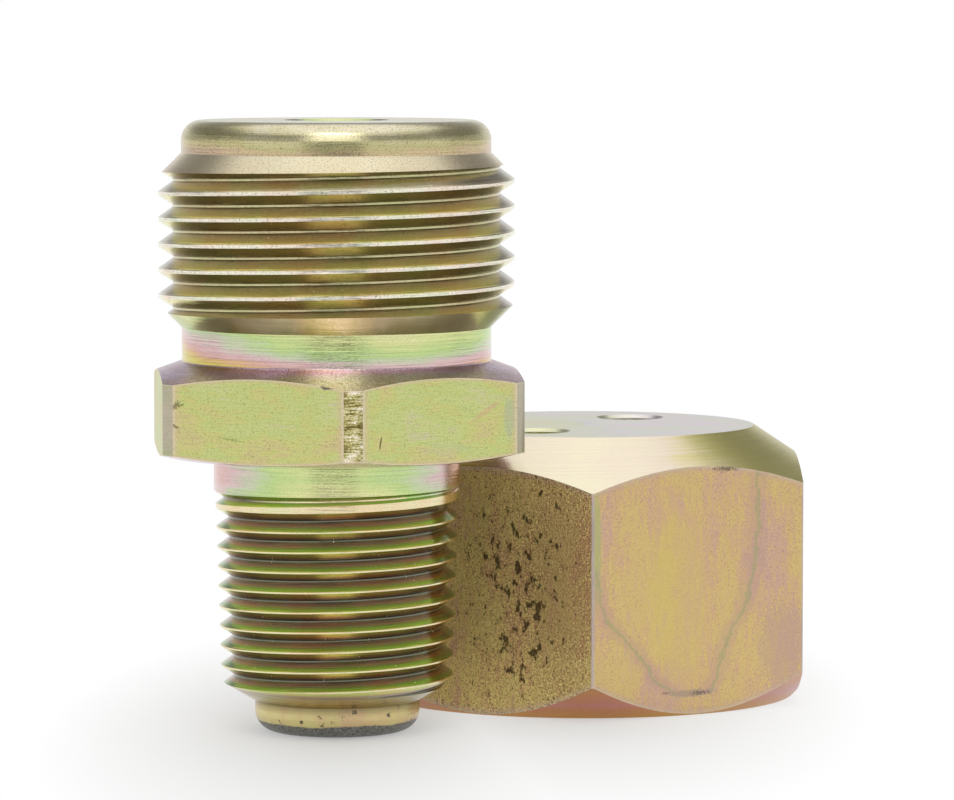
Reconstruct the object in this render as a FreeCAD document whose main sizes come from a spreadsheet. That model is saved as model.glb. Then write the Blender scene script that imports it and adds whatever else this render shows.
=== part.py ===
# Vented cap with its check fitting. The fitting is a turned steel body with a hexagon, standing on its
# pipe end, with a spring and a poppet held inside by a rolled lip. The hexagon cap that screws over its
# nose is taken off and set down to the right and behind, mouth down.
# Millimetres and degrees. The origin is on the fitting's axis, on the surface that both stand on. +Z is up.
import FreeCAD, Part
import Sketcher
import os
import re

document = FreeCAD.newDocument("VentedCap")

sizes = {
    # pipe end of the fitting, from its foot up
    "spigot_radius": 5.87,
    "spigot_length": 2.2,
    "lip_round": 1.45,
    "lip_bore_radius": 3.9,
    "lip_thickness": 1,
    "end_bevel_angle": 30,
    "pipe_thread_length": 15.05,
    "pipe_thread_radius": 8.68,
    "pipe_thread_taper": 0.03125,
    "shoulder_radius": 8.76,
    "shoulder_length": 2.55,
    # hexagon of the fitting
    "hex_width": 25.4,
    "hex_height": 6.65,
    "hex_corner_radius": 14.3,
    "hex_top_angle": 20,
    "hex_foot_radius": 12.4,
    "hex_foot_angle": 14,
    "hex_turn": 6.05,
    # neck, thread and nose that the cap goes over
    "neck_radius": 11,
    "neck_length": 2.4,
    "neck_flare": 0.15,
    "nose_thread_length": 12.35,
    "nose_thread_radius": 12.65,
    "nose_radius": 11,
    "nose_length": 2.3,
    "nose_round": 1.4,
    # passage and valve
    "outlet_radius": 3.57,
    "outlet_bevel": 0.25,
    "chamber_radius": 4.85,
    "chamber_length": 9,
    "seat_angle": 30,
    "poppet_gap": 0.1,
    "poppet_tip_radius": 3.7,
    "poppet_radius": 4.35,
    "poppet_rim": 0.9,
    "poppet_boss_radius": 3,
    "poppet_boss_length": 1.4,
    "retainer_gap": 0.05,
    "retainer_thickness": 1.2,
    "retainer_hole_radius": 1.8,
    "spring_radius": 3.7,
    "spring_wire_radius": 0.45,
    "spring_turns": 3,
    "spring_gap": 0.05,
    # cap
    "cap_width": 31.75,
    "cap_height": 20.2,
    "cap_face_radius": 12.8,
    "cap_top_angle": 33.5,
    "cap_foot_radius": 15.8,
    "cap_foot_angle": 45,
    "cap_bore_radius": 11.72,
    "cap_bore_depth": 17.2,
    "cap_mouth_bevel": 1,
    "vent_radius": 2.38,
    "vent_circle_radius": 7.6,
    "cap_turn": 1,
    "cap_right": 18,
    "cap_back": 21.5,
}

sheet = document.addObject("Spreadsheet::Sheet", "Sizes")
for row, (alias, value) in enumerate(sizes.items(), start=1):
    sheet.set(f"A{row}", alias)
    sheet.set(f"B{row}", str(value))
    sheet.setAlias(f"B{row}", alias)
document.recompute()

# Heights of the fitting's steps above its foot, each on top of the one below.
pipe_end = "spigot_length"
shoulder_foot = f"({pipe_end} + pipe_thread_length)"
hex_foot = f"({shoulder_foot} + shoulder_length)"
neck_foot = f"({hex_foot} + hex_height)"
nose_thread_foot = f"({neck_foot} + neck_length)"
nose_foot = f"({nose_thread_foot} + nose_thread_length)"
nose_top = f"({nose_foot} + nose_length)"
chamber_roof = "(lip_thickness + chamber_length)"
retainer_top = "(lip_thickness + retainer_gap + retainer_thickness)"

# The seat is the cone that narrows from the chamber to the outlet, and the poppet closes it from below.
seat_top = f"({chamber_roof} + (chamber_radius - outlet_radius) / tan(seat_angle))"
poppet_tip = f"({seat_top} - poppet_gap + (outlet_radius - poppet_tip_radius) / tan(seat_angle))"
poppet_rim_top = f"({poppet_tip} - (poppet_radius - poppet_tip_radius) / tan(seat_angle))"
poppet_back = f"({poppet_rim_top} - poppet_rim)"
spring_foot = f"({retainer_top} + spring_gap + spring_wire_radius)"
spring_top = f"({poppet_back} - spring_gap - spring_wire_radius)"

# How far a cutting outline reaches past the metal that it removes.
beyond = 1


# Every word with an underscore in an expression is a size in the sheet.
def bound(expression):
    return re.sub(r"[a-z]+(?:_[a-z]+)+", lambda word: "Sizes." + word.group(), expression)


def bind(thing, property_name, expression):
    thing.setExpression(property_name, bound(expression))


def amount(expression):
    return float(sheet.evalExpression(expression))


def new_body(label):
    body = document.addObject("PartDesign::Body", label)
    body.Label = label
    return body


# A sketch on one of the body's own planes, raised by a height.
def new_sketch(body, name, role, height="0"):
    sketch = body.newObject("Sketcher::SketchObject", name)
    plane = next(feature for feature in body.Origin.OriginFeatures if feature.Role == role)
    sketch.AttachmentSupport = [(plane, "")]
    sketch.MapMode = "FlatFace"
    bind(sketch, "AttachmentOffset.Base.z", height)
    return sketch


# Closed outlines of straight lines. Each corner is a pair of expressions, held from the sketch's origin.
def draw_outlines(sketch, outlines):
    for corners in outlines:
        points = [FreeCAD.Vector(amount(across), amount(up), 0) for across, up in corners]
        first = sketch.GeometryCount
        for index, point in enumerate(points):
            sketch.addGeometry(Part.LineSegment(point, points[(index + 1) % len(points)]))
        for index, (corner, point) in enumerate(zip(corners, points)):
            line = first + index
            next_line = first + (index + 1) % len(points)
            sketch.addConstraint(Sketcher.Constraint("Coincident", line, 2, next_line, 1))
            for kind, expression, value in zip(("DistanceX", "DistanceY"), corner, point):
                number = sketch.addConstraint(Sketcher.Constraint(kind, -1, 1, line, 1, value))
                bind(sketch, f"Constraints[{number}]", expression)


def draw_circle(sketch, across, up, radius):
    centre = FreeCAD.Vector(amount(across), amount(up), 0)
    circle = sketch.addGeometry(Part.Circle(centre, FreeCAD.Vector(0, 0, 1), amount(radius)))
    held = (
        ("DistanceX", (-1, 1, circle, 3), across, centre.x),
        ("DistanceY", (-1, 1, circle, 3), up, centre.y),
        ("Radius", (circle,), radius, amount(radius)),
    )
    for kind, where, expression, value in held:
        number = sketch.addConstraint(Sketcher.Constraint(kind, *where, value))
        bind(sketch, f"Constraints[{number}]", expression)


# The corners of a hexagon about a point, the first one straight below it.
def hexagon(corner_radius, across="0", up="0"):
    return [
        (
            f"{across} + {corner_radius} * cos({60 * number - 90})",
            f"{up} + {corner_radius} * sin({60 * number - 90})",
        )
        for number in range(6)
    ]


# A bar of hexagon section with one corner towards the front.
def hexagon_bar(body, name, width, foot, height):
    sketch = new_sketch(body, name + "Outline", "XY_Plane", foot)
    draw_outlines(sketch, [hexagon(f"{width} / 2 / cos(30)")])
    pad = body.newObject("PartDesign::Pad", name)
    pad.Profile = sketch
    bind(pad, "Length", height)


# Outlines of radius and height, turned about the body's axis to add metal or to cut it away.
def turned(body, name, outlines, kind="PartDesign::Revolution"):
    sketch = new_sketch(body, name + "Outline", "XZ_Plane")
    draw_outlines(sketch, outlines)
    feature = body.newObject(kind, name)
    feature.Profile = sketch
    feature.ReferenceAxis = (sketch, ["V_Axis"])
    feature.Angle = 360
    document.recompute()
    return feature


def cut_round(body, name, outlines):
    return turned(body, name, outlines, "PartDesign::Groove")


def round_edge(body, name, radius_of_edge, height, radius):
    base = body.Tip
    edge_radius = amount(radius_of_edge)
    level = amount(height)
    found = [
        f"Edge{number}"
        for number, edge in enumerate(base.Shape.Edges, start=1)
        if isinstance(edge.Curve, Part.Circle)
        and abs(edge.Curve.Radius - edge_radius) < 1e-4
        and abs(edge.Curve.Center.z - level) < 1e-4
    ]
    fillet = body.newObject("PartDesign::Fillet", name)
    fillet.Base = (base, found)
    bind(fillet, "Radius", radius)
    document.recompute()
    return fillet


def make_fitting():
    body = new_body("check_fitting")
    hexagon_bar(body, "Hexagon", "hex_width", hex_foot, "hex_height")
    cut_round(body, "HexagonBevels", [[
        ("neck_radius", neck_foot),
        ("hex_corner_radius", f"{neck_foot} - (hex_corner_radius - neck_radius) * tan(hex_top_angle)"),
        ("hex_corner_radius", f"{hex_foot} + (hex_corner_radius - hex_foot_radius) * tan(hex_foot_angle)"),
        ("hex_foot_radius", hex_foot),
        ("hex_foot_radius", f"{hex_foot} - {beyond}"),
        ("hex_width", f"{hex_foot} - {beyond}"),
        ("hex_width", f"{neck_foot} + {beyond}"),
        ("neck_radius", f"{neck_foot} + {beyond}"),
    ]])

    # The pipe thread is cut on a cone, and its end is bevelled down to the spigot. The spigot's lip is
    # rolled in, and its round outer edge is turned in three flats.
    small_end = "(pipe_thread_radius - pipe_thread_taper * pipe_thread_length)"
    bevel_height = f"({small_end} - spigot_radius) / (1 / tan(end_bevel_angle) - pipe_thread_taper)"
    nose_bevel = "(nose_thread_radius - nose_radius)"
    neck_bevel = "(nose_thread_radius - neck_radius)"
    lip_reach = "min(lip_round; spigot_length * 0.9)"
    lip_corners = [
        (f"spigot_radius - {lip_reach} * (1 - sin({angle}))", f"{lip_reach} * (1 - cos({angle}))")
        for angle in (0, 30, 60, 90)
    ]
    turned(body, "Stem", [[
        ("0", "0"),
        *lip_corners,
        ("spigot_radius", pipe_end),
        (f"spigot_radius + {bevel_height} / tan(end_bevel_angle)", f"{pipe_end} + {bevel_height}"),
        ("pipe_thread_radius", shoulder_foot),
        ("shoulder_radius", shoulder_foot),
        ("shoulder_radius", f"{hex_foot} + hex_height / 2"),
        ("neck_radius + 2 * neck_flare", f"{hex_foot} + hex_height / 2"),
        ("neck_radius + 2 * neck_flare", f"{neck_foot} - neck_flare"),
        ("neck_radius", f"{neck_foot} + neck_flare"),
        ("neck_radius", nose_thread_foot),
        ("nose_thread_radius", f"{nose_thread_foot} + {neck_bevel}"),
        ("nose_thread_radius", f"{nose_foot} - {nose_bevel}"),
        ("nose_radius", nose_foot),
        ("nose_radius", nose_top),
        ("0", nose_top),
    ]])

    # One passage runs from end to end: lip, valve chamber, conical seat, outlet.
    cut_round(body, "Passage", [[
        ("0", "0"),
        ("lip_bore_radius", "0"),
        ("lip_bore_radius", "lip_thickness"),
        ("chamber_radius", "lip_thickness"),
        ("chamber_radius", chamber_roof),
        ("outlet_radius", seat_top),
        ("outlet_radius", f"{nose_top} - outlet_bevel"),
        ("outlet_radius + outlet_bevel", nose_top),
        ("0", nose_top),
    ]])

    round_edge(body, "NoseRound", "nose_radius", nose_top, "min(nose_round; nose_length * 0.9)")
    body.Placement = FreeCAD.Placement(FreeCAD.Vector(), FreeCAD.Rotation(FreeCAD.Vector(0, 0, 1), 1))
    bind(body, "Placement.Rotation.Angle", "hex_turn")
    return body


def make_cap():
    body = new_body("vented_cap")
    hexagon_bar(body, "Hexagon", "cap_width", "0", "cap_height")
    cut_round(body, "OuterBevels", [
        [
            ("cap_face_radius", "cap_height"),
            ("cap_width", "cap_height - (cap_width - cap_face_radius) * tan(cap_top_angle)"),
            ("cap_width", f"cap_height + {beyond}"),
            ("cap_face_radius", f"cap_height + {beyond}"),
        ],
        [
            ("cap_foot_radius", "0"),
            ("cap_foot_radius", f"-{beyond}"),
            ("cap_width", f"-{beyond}"),
            ("cap_width", "min((cap_width - cap_foot_radius) * tan(cap_foot_angle); cap_height / 3)"),
        ],
    ])

    # The bore is the thread's minor diameter, open at the mouth below.
    cut_round(body, "Bore", [[
        ("0", "0"),
        ("cap_bore_radius + cap_mouth_bevel", "0"),
        ("cap_bore_radius", "cap_mouth_bevel"),
        ("cap_bore_radius", "cap_bore_depth"),
        ("0", "cap_bore_depth"),
    ]])

    # Two vent holes face each other across the flats.
    sketch = new_sketch(body, "VentOutline", "XY_Plane", "cap_height")
    draw_circle(sketch, "vent_circle_radius * cos(60)", "vent_circle_radius * sin(60)", "vent_radius")
    vent = body.newObject("PartDesign::Pocket", "Vent")
    vent.Profile = sketch
    bind(vent, "Length", "cap_height - cap_bore_depth")
    document.recompute()
    vents = body.newObject("PartDesign::PolarPattern", "Vents")
    vents.Originals = [vent]
    vents.Axis = (sketch, ["N_Axis"])
    vents.Angle = 360
    vents.Occurrences = 2
    body.Tip = vents

    body.Placement = FreeCAD.Placement(FreeCAD.Vector(), FreeCAD.Rotation(FreeCAD.Vector(0, 0, 1), 1))
    bind(body, "Placement.Rotation.Angle", "cap_turn")
    bind(body, "Placement.Base.x", "cap_right")
    bind(body, "Placement.Base.y", "cap_back")
    return body


# A turned valve: a cone that meets the seat, a rim, and a boss that centres the spring.
def make_poppet():
    body = new_body("valve_poppet")
    turned(body, "Turned", [[
        ("0", poppet_tip),
        ("poppet_tip_radius", poppet_tip),
        ("poppet_radius", poppet_rim_top),
        ("poppet_radius", poppet_back),
        ("poppet_boss_radius", poppet_back),
        ("poppet_boss_radius", f"{poppet_back} - poppet_boss_length"),
        ("0", f"{poppet_back} - poppet_boss_length"),
    ]])
    return body


# A disc with a hole through it, resting on the rolled lip.
def make_retainer():
    body = new_body("spring_retainer")
    outer_radius = "chamber_radius - retainer_gap"
    turned(body, "Disc", [[
        ("retainer_hole_radius", "lip_thickness + retainer_gap"),
        (outer_radius, "lip_thickness + retainer_gap"),
        (outer_radius, retainer_top),
        ("retainer_hole_radius", retainer_top),
    ]])
    return body


# Wire wound from the retainer up to the poppet's rim, drawn with six flats to stand for its round section.
def make_spring():
    body = new_body("valve_spring")
    sketch = new_sketch(body, "WireSection", "XZ_Plane")
    draw_outlines(sketch, [hexagon("spring_wire_radius", "spring_radius", spring_foot)])
    coil = body.newObject("PartDesign::AdditiveHelix", "Coil")
    coil.Profile = sketch
    coil.ReferenceAxis = (sketch, ["V_Axis"])
    coil.Mode = "height-turns-angle"
    coil.Angle = 0
    bind(coil, "Turns", "spring_turns")
    bind(coil, "Height", f"{spring_top} - {spring_foot}")
    return body


parts = [make_fitting(), make_cap(), make_poppet(), make_retainer(), make_spring()]
document.recompute()

for item in document.Objects:
    faults = [word for word in item.State if word in ("Invalid", "Error")]
    if faults:
        raise RuntimeError(f"{item.Label}: {faults}")
for part in parts:
    if part.Shape.isNull() or not part.Shape.isValid():
        raise RuntimeError(f"{part.Label}: no valid shape")

os.makedirs("parts", exist_ok=True)
for part in parts:
    part.Shape.exportStep(f"parts/{part.Label}.step")
    print(part.Label, "volume", round(part.Shape.Volume, 1), "solids", len(part.Shape.Solids))
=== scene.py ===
import bpy
import math
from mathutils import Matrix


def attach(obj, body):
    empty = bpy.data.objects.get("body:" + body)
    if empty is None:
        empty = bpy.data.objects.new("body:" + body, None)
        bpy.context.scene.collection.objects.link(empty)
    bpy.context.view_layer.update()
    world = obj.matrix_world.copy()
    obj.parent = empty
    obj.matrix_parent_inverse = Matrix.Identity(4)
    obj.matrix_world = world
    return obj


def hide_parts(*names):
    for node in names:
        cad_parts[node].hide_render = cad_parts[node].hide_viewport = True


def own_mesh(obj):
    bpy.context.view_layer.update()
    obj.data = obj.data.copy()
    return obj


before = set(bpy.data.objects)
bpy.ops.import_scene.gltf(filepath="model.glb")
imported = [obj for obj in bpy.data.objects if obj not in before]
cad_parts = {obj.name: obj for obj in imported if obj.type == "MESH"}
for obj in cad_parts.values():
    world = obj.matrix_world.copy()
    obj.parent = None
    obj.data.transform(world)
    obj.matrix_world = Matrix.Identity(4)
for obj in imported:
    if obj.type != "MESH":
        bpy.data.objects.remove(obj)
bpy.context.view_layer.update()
print("frame loaded:", sorted(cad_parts))

# Everything is modelled in millimetres about the fitting's axis, and turned to metres at the end.
mm = 0.001
roundSteps = 144          # facets of a full turn, for the turned surfaces and for the threads
halfFacet = math.pi / roundSteps


# Small helpers for modelling

def startFresh(piece=None):
    if bpy.context.object and bpy.context.object.mode == "EDIT":
        bpy.ops.object.mode_set(mode="OBJECT")
    bpy.ops.object.select_all(action="DESELECT")
    if piece:
        piece.select_set(True)
        bpy.context.view_layer.objects.active = piece


def arc(centreRadius, centreHeight, radius, fromAngle, toAngle, steps):
    angles = [math.radians(fromAngle + (toAngle - fromAngle) * step / steps) for step in range(steps + 1)]
    return [(centreRadius + radius * math.cos(a), centreHeight + radius * math.sin(a)) for a in angles]


def drawChain(name, corners, closed):
    # one vertex, extruded from corner to corner in the plane y = 0
    startFresh()
    bpy.ops.mesh.primitive_plane_add(size=1, location=(0, 0, 0))
    piece = bpy.context.object
    piece.name = name
    bpy.ops.object.mode_set(mode="EDIT")
    bpy.ops.mesh.merge(type="CENTER")
    bpy.ops.transform.translate(value=(corners[0][0], 0, corners[0][1]))
    for before, after in zip(corners, corners[1:] + corners[:1] * closed):
        step = (after[0] - before[0], 0, after[1] - before[1])
        bpy.ops.mesh.extrude_vertices_move(TRANSFORM_OT_translate={"value": step})
    bpy.ops.mesh.select_all(action="SELECT")
    bpy.ops.mesh.remove_doubles(threshold=1e-5)
    return piece


def turnOnLathe(name, corners):
    piece = drawChain(name, corners, closed=True)
    bpy.ops.mesh.select_all(action="SELECT")
    bpy.ops.mesh.spin(steps=roundSteps, angle=2 * math.pi, center=(0, 0, 0), axis=(0, 0, 1))
    bpy.ops.mesh.select_all(action="SELECT")
    bpy.ops.mesh.remove_doubles(threshold=1e-5)
    bpy.ops.mesh.normals_make_consistent(inside=False)
    bpy.ops.object.mode_set(mode="OBJECT")
    return piece


def hexagonBar(name, width, foot, height, turn, edgeBevel=0.0):
    startFresh()
    bpy.ops.mesh.primitive_cylinder_add(
        vertices=6, radius=width / 2 / math.cos(math.pi / 6), depth=height, location=(0, 0, foot + height / 2),
        rotation=(0, 0, math.radians(turn)))
    piece = bpy.context.object
    piece.name = name
    bpy.ops.object.transform_apply(location=True, rotation=True, scale=True)
    if edgeBevel:
        # the upright edges are worn a little round
        bpy.ops.object.mode_set(mode="EDIT")
        bpy.ops.mesh.select_mode(type="EDGE")
        bpy.ops.mesh.select_all(action="DESELECT")
        bpy.ops.object.mode_set(mode="OBJECT")
        for edge in piece.data.edges:
            ends = [piece.data.vertices[i].co for i in edge.vertices]
            edge.select = abs(ends[0].z - ends[1].z) > height / 2
        bpy.ops.object.mode_set(mode="EDIT")
        bpy.ops.mesh.bevel(offset=edgeBevel, segments=2)
        bpy.ops.mesh.select_mode(type="VERT")
        bpy.ops.object.mode_set(mode="OBJECT")
    return piece


def combine(piece, tool, operation):
    startFresh(piece)
    modifier = piece.modifiers.new("cut", "BOOLEAN")
    modifier.operation = operation
    modifier.solver = "EXACT"
    modifier.object = tool
    bpy.ops.object.modifier_apply(modifier=modifier.name)
    bpy.data.objects.remove(tool)


def threadCutter(name, section, pitch, turns, startHeight):
    # the section is wound up a right-hand screw, half a facet round so that its edges cross flat facets
    piece = drawChain(name, section, closed=True)
    bpy.ops.object.mode_set(mode="OBJECT")
    startFresh(piece)
    screw = piece.modifiers.new("wind", "SCREW")
    screw.axis = "Z"
    screw.angle = 2 * math.pi
    screw.screw_offset = pitch
    screw.iterations = turns
    screw.steps = roundSteps
    screw.render_steps = roundSteps
    screw.use_merge_vertices = False
    bpy.ops.object.modifier_apply(modifier=screw.name)
    bpy.ops.object.mode_set(mode="EDIT")
    bpy.ops.mesh.select_all(action="SELECT")
    bpy.ops.transform.translate(value=(0, 0, startHeight + pitch * halfFacet / 2 / math.pi))
    bpy.ops.mesh.select_all(action="SELECT")
    bpy.ops.mesh.fill_holes(sides=0)
    bpy.ops.mesh.select_all(action="SELECT")
    bpy.ops.mesh.normals_make_consistent(inside=False)
    bpy.ops.object.mode_set(mode="OBJECT")
    piece.rotation_euler = (0, 0, halfFacet)
    bpy.ops.object.transform_apply(location=True, rotation=True, scale=True)
    return piece


def finishPiece(piece, materials, choose, smoothAngle=30):
    # each face takes the finish that its place and direction call for
    startFresh(piece)
    piece.data.materials.clear()
    for material in materials:
        piece.data.materials.append(material)
    for face in piece.data.polygons:
        face.material_index = materials.index(choose(face.center, face.normal))
    bpy.ops.object.shade_smooth_by_angle(angle=math.radians(smoothAngle))
    # large faces lead the shading, so that slivers left by the cuts don't show as streaks
    weighted = piece.modifiers.new("shade", "WEIGHTED_NORMAL")
    weighted.keep_sharp = True
    weighted.weight = 100
    bpy.ops.object.modifier_apply(modifier=weighted.name)
    piece.scale = (mm, mm, mm)
    bpy.ops.object.transform_apply(location=True, rotation=True, scale=True)


# Small helpers for materials

def linear(hexColour):
    channels = [int(hexColour[i:i + 2], 16) / 255 for i in (1, 3, 5)]
    return tuple(c / 12.92 if c <= 0.04045 else ((c + 0.055) / 1.055) ** 2.4 for c in channels) + (1.0,)


# Settings may be just the operation's name. Inputs are a dictionary, or a list in the node's own order, which
# for a map range is value, from min, from max, to min, to max. A node stands for its first output in use.
def addNode(tree, kind, settings=None, inputs=None, stops=None, curve=None):
    node = tree.nodes.new("ShaderNode" + kind)
    if isinstance(settings, str):
        settings = {"operation": settings}
    if isinstance(inputs, list):
        inputs = dict(enumerate(inputs))
    for name, value in (settings or {}).items():
        setattr(node, name, value)
    for key, value in (inputs or {}).items():
        socket = node.inputs[key] if isinstance(key, int) else next(
            entry for entry in node.inputs if entry.enabled and entry.name == key)
        if isinstance(value, bpy.types.Node):
            value = next(output for output in value.outputs if output.enabled)
        if isinstance(value, bpy.types.NodeSocket):
            tree.links.new(value, socket)
        else:
            socket.default_value = value
    if stops:
        ramp = node.color_ramp
        while len(ramp.elements) < len(stops):
            ramp.elements.new(1.0)
        for element, (position, colour) in zip(ramp.elements, stops):
            element.position = position
            element.color = linear(colour)
    if curve:
        line = node.mapping.curves[0]
        while len(line.points) < len(curve):
            line.points.new(0.5, 0.5)
        for point, place in zip(line.points, curve):
            point.location = place
            point.handle_type = "VECTOR"
        node.mapping.update()
    return node


def newMaterial(name):
    material = bpy.data.materials.new(name)
    material.use_nodes = True
    material.node_tree.nodes.clear()
    return material, material.node_tree


# One colour over another. As value runs between two levels, the share of the upper one runs between two
# strengths.
def paintWhere(tree, under, over, value, levels, strengths):
    share = addNode(tree, "MapRange", inputs=[value, *levels, *strengths])
    upper = linear(over) if isinstance(over, str) else over
    return addNode(tree, "Mix", {"data_type": "RGBA"}, {"Factor": share, "A": under, "B": upper})


# A noise swings about its middle, and its swing is added to a level.
def addSwing(tree, noise, amount, level):
    swing = addNode(tree, "Math", "SUBTRACT", [noise, 0.5])
    return addNode(tree, "Math", "MULTIPLY_ADD", [swing, amount, level])


# The end of each metal: a relief of so many millimetres, the shader and the output.
def closeMetal(tree, colour, roughness, relief, strength, depth, metallic=1.0):
    bump = addNode(tree, "Bump", inputs={"Height": relief, "Strength": strength, "Distance": depth * mm})
    shader = addNode(tree, "BsdfPrincipled", inputs={
        "Base Color": colour, "Metallic": metallic, "Roughness": roughness, "Normal": bump})
    addNode(tree, "OutputMaterial", inputs={"Surface": shader})


# Where a point lies on a turned piece: millimetres from the piece's own axis.
def latheCoordinates(tree, centre=(0, 0)):
    coordinates = addNode(tree, "TexCoord")
    point = addNode(tree, "Mapping", inputs={
        "Vector": coordinates.outputs["Object"], "Scale": (1000, 1000, 1000),
        "Location": (-centre[0], -centre[1], 0)})
    apart = addNode(tree, "SeparateXYZ", inputs={"Vector": point})
    level = addNode(tree, "CombineXYZ", inputs={"X": apart.outputs["X"], "Y": apart.outputs["Y"]})
    radius = addNode(tree, "VectorMath", "LENGTH", [level])
    outward = addNode(tree, "VectorMath", "NORMALIZE", [level])
    side = addNode(tree, "SeparateXYZ", inputs={"Vector": outward})
    return {"point": point, "height": apart.outputs["Z"], "radius": radius, "side": side.outputs["X"]}


# Fine rings left by the turning tool: a noise that is long round the piece and short across it.
def turningMarks(tree, place, pitch=0.09):
    around = addNode(tree, "VectorMath", "SCALE", {0: place["point"], "Scale": 0.02})
    rings = addNode(tree, "CombineXYZ", inputs={"X": place["radius"], "Z": place["height"]})
    mixed = addNode(tree, "VectorMath", "ADD", [around, rings])
    return addNode(tree, "TexNoise", inputs={
        "Vector": mixed, "Scale": 1 / pitch / 2, "Detail": 3.0, "Roughness": 0.6})


# Grit of about 0.1 mm, dark through the plate. Real grit is finer, and would be lost between the pixels.
def addGrit(tree, place, colour, gritColour, strength):
    grit = addNode(tree, "TexNoise", inputs={
        "Vector": place["point"], "Scale": 9.0, "Detail": 2.0, "Roughness": 0.7})
    return grit, paintWhere(tree, colour, gritColour, grit, (0.36, 0.46), (strength, 0.0))


# Scattered spots: one in each cell, kept in a share of the cells. It gives their strength inside, 0 outside.
def scatterSpots(tree, place, cellsPerMm, share, edge, strength, ragged=None):
    cells = addNode(tree, "TexVoronoi", inputs={"Vector": place["point"], "Scale": cellsPerMm})
    number = addNode(tree, "SeparateXYZ", inputs={"Vector": cells.outputs["Color"]})
    kept = addNode(tree, "Math", "GREATER_THAN", [number.outputs["X"], 1 - share])
    away = cells
    if ragged:
        away = addNode(tree, "Math", "MULTIPLY_ADD", [ragged, 0.9, cells])
    spot = addNode(tree, "MapRange", inputs=[away, *edge, strength, 0.0])
    return addNode(tree, "Math", "MULTIPLY", [spot, kept])


# The fitting, in millimetres. Each pair is a radius and a height.
fitting = {
    "spigotRadius": 5.87, "spigotTop": 2.2, "lipRound": 1.45, "lipBore": 3.9, "lipThickness": 1,
    "pipeEnd": (8.253, 3.576), "pipeTop": (8.68, 17.25), "shoulderRadius": 8.76,
    "hexWidth": 25.4, "hexFoot": 19.8, "hexHeight": 6.65, "hexCorner": 14.3, "hexFootRadius": 12.4,
    "hexTopAngle": 20, "hexFootAngle": 14, "hexTurn": 6.05, "stemInHex": 3, "coreRadius": 5,
    "neckRadius": 11, "neckFillet": 0.3, "threadFoot": 28.85, "threadRadius": 12.65,
    "noseFoot": 41.2, "noseTop": 43.5, "noseRound": 1.4,
    "outletRadius": 3.57, "outletBevel": 0.25, "seatTop": 12.217, "chamberRadius": 4.85, "chamberRoof": 10,
    "nosePitch": 1.814, "noseTurns": 9, "noseRoot": 11.62, "noseRootFlat": 0.14, "noseCrestFlat": 0.3,
    "noseGrooveAtFront": 39.7,
    "pipePitch": 1.411, "pipeTurns": 12, "pipeCrest": 8.61, "pipeDepth": 0.88, "pipeRootFlat": 0.1,
    "pipeCrestFlat": 0.14, "pipeGrooveAtFront": 15.65, "pipeTaper": 0.03125, "pipeGaugeHeight": 14.6,
    "pipeRunOutTurn": 10.15, "crestWear": 0.07, "noseTurnsToFront": 6.75, "pipeTurnsToFront": 9.75,
    "chatterFront": -13,
}
f = fitting
topSlope = math.tan(math.radians(f["hexTopAngle"]))
footSlope = math.tan(math.radians(f["hexFootAngle"]))
hexTop = f["hexFoot"] + f["hexHeight"]
leftFlat, rightFlat = f["hexTurn"] - 30, f["hexTurn"] + 30
bevelRun = f["threadRadius"] - f["neckRadius"]
pipeRoot = f["pipeCrest"] - f["pipeDepth"]


# Materials of the fitting

# Yellow chromate on zinc plate, over turned steel: a mirror-like metal that is stained in bands from straw
# to green and pink where the film changes thickness, with the tool's rings and a fine grit showing through.
def turnedChromate(name, look, centre=(0, 0)):
    material, tree = newMaterial(name)
    place = latheCoordinates(tree, centre)
    marks = turningMarks(tree, place)
    drift = addNode(tree, "TexNoise", inputs={
        "Vector": place["point"], "Scale": look["driftScale"], "Detail": 2.0})
    # the plating bath ran off towards one side, so the stain isn't the same left and right
    leaning = addNode(tree, "Math", "SUBTRACT", [place["side"], look["sideLean"]])
    sideways = addNode(tree, "Math", "ABSOLUTE", [leaning])
    curved = addNode(tree, "Math", "POWER", [sideways, look["sidePower"]])
    film = addNode(tree, "Math", "MULTIPLY_ADD", [curved, look["sideFilm"], look["film"]])
    low, middle, high = look["heights"]
    lowFilm, middleFilm, highFilm = look["heightFilm"]
    for start, end, startFilm, endFilm in (
        (low, middle, lowFilm - middleFilm, 0.0), (middle, high, middleFilm, highFilm)):
        part = addNode(tree, "MapRange", inputs=[place["height"], start, end, startFilm, endFilm])
        film = addNode(tree, "Math", "ADD", [film, part])
    film = addSwing(tree, drift, look["drift"], film)
    film = addSwing(tree, marks, look["rings"], film)
    stained = addNode(tree, "ValToRGB", inputs={"Fac": film}, stops=look["stops"])
    grit, colour = addGrit(tree, place, stained, "#4a432c", look["grit"])
    relief = addNode(tree, "Math", "MULTIPLY_ADD", [grit, 0.35, marks])
    closeMetal(tree, colour, look["roughness"], relief, look["bump"], 0.04)
    return material


filmStops = [
    (0.00, "#efe7cc"), (0.18, "#e8e2b0"), (0.34, "#dfe3a0"), (0.48, "#c2da92"), (0.60, "#ccd4b4"),
    (0.70, "#e0c2c2"), (0.80, "#dcb2ac"), (0.90, "#dfba84"), (1.00, "#d8c86c")]

platedLook = {
    "stops": filmStops, "film": 0.0, "sideFilm": 0.3, "sidePower": 2.0, "sideLean": 0.0, "drift": 0.3,
    "driftScale": 0.3, "rings": 0.4, "grit": 0.2, "bump": 0.35, "roughness": 0.2}

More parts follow.
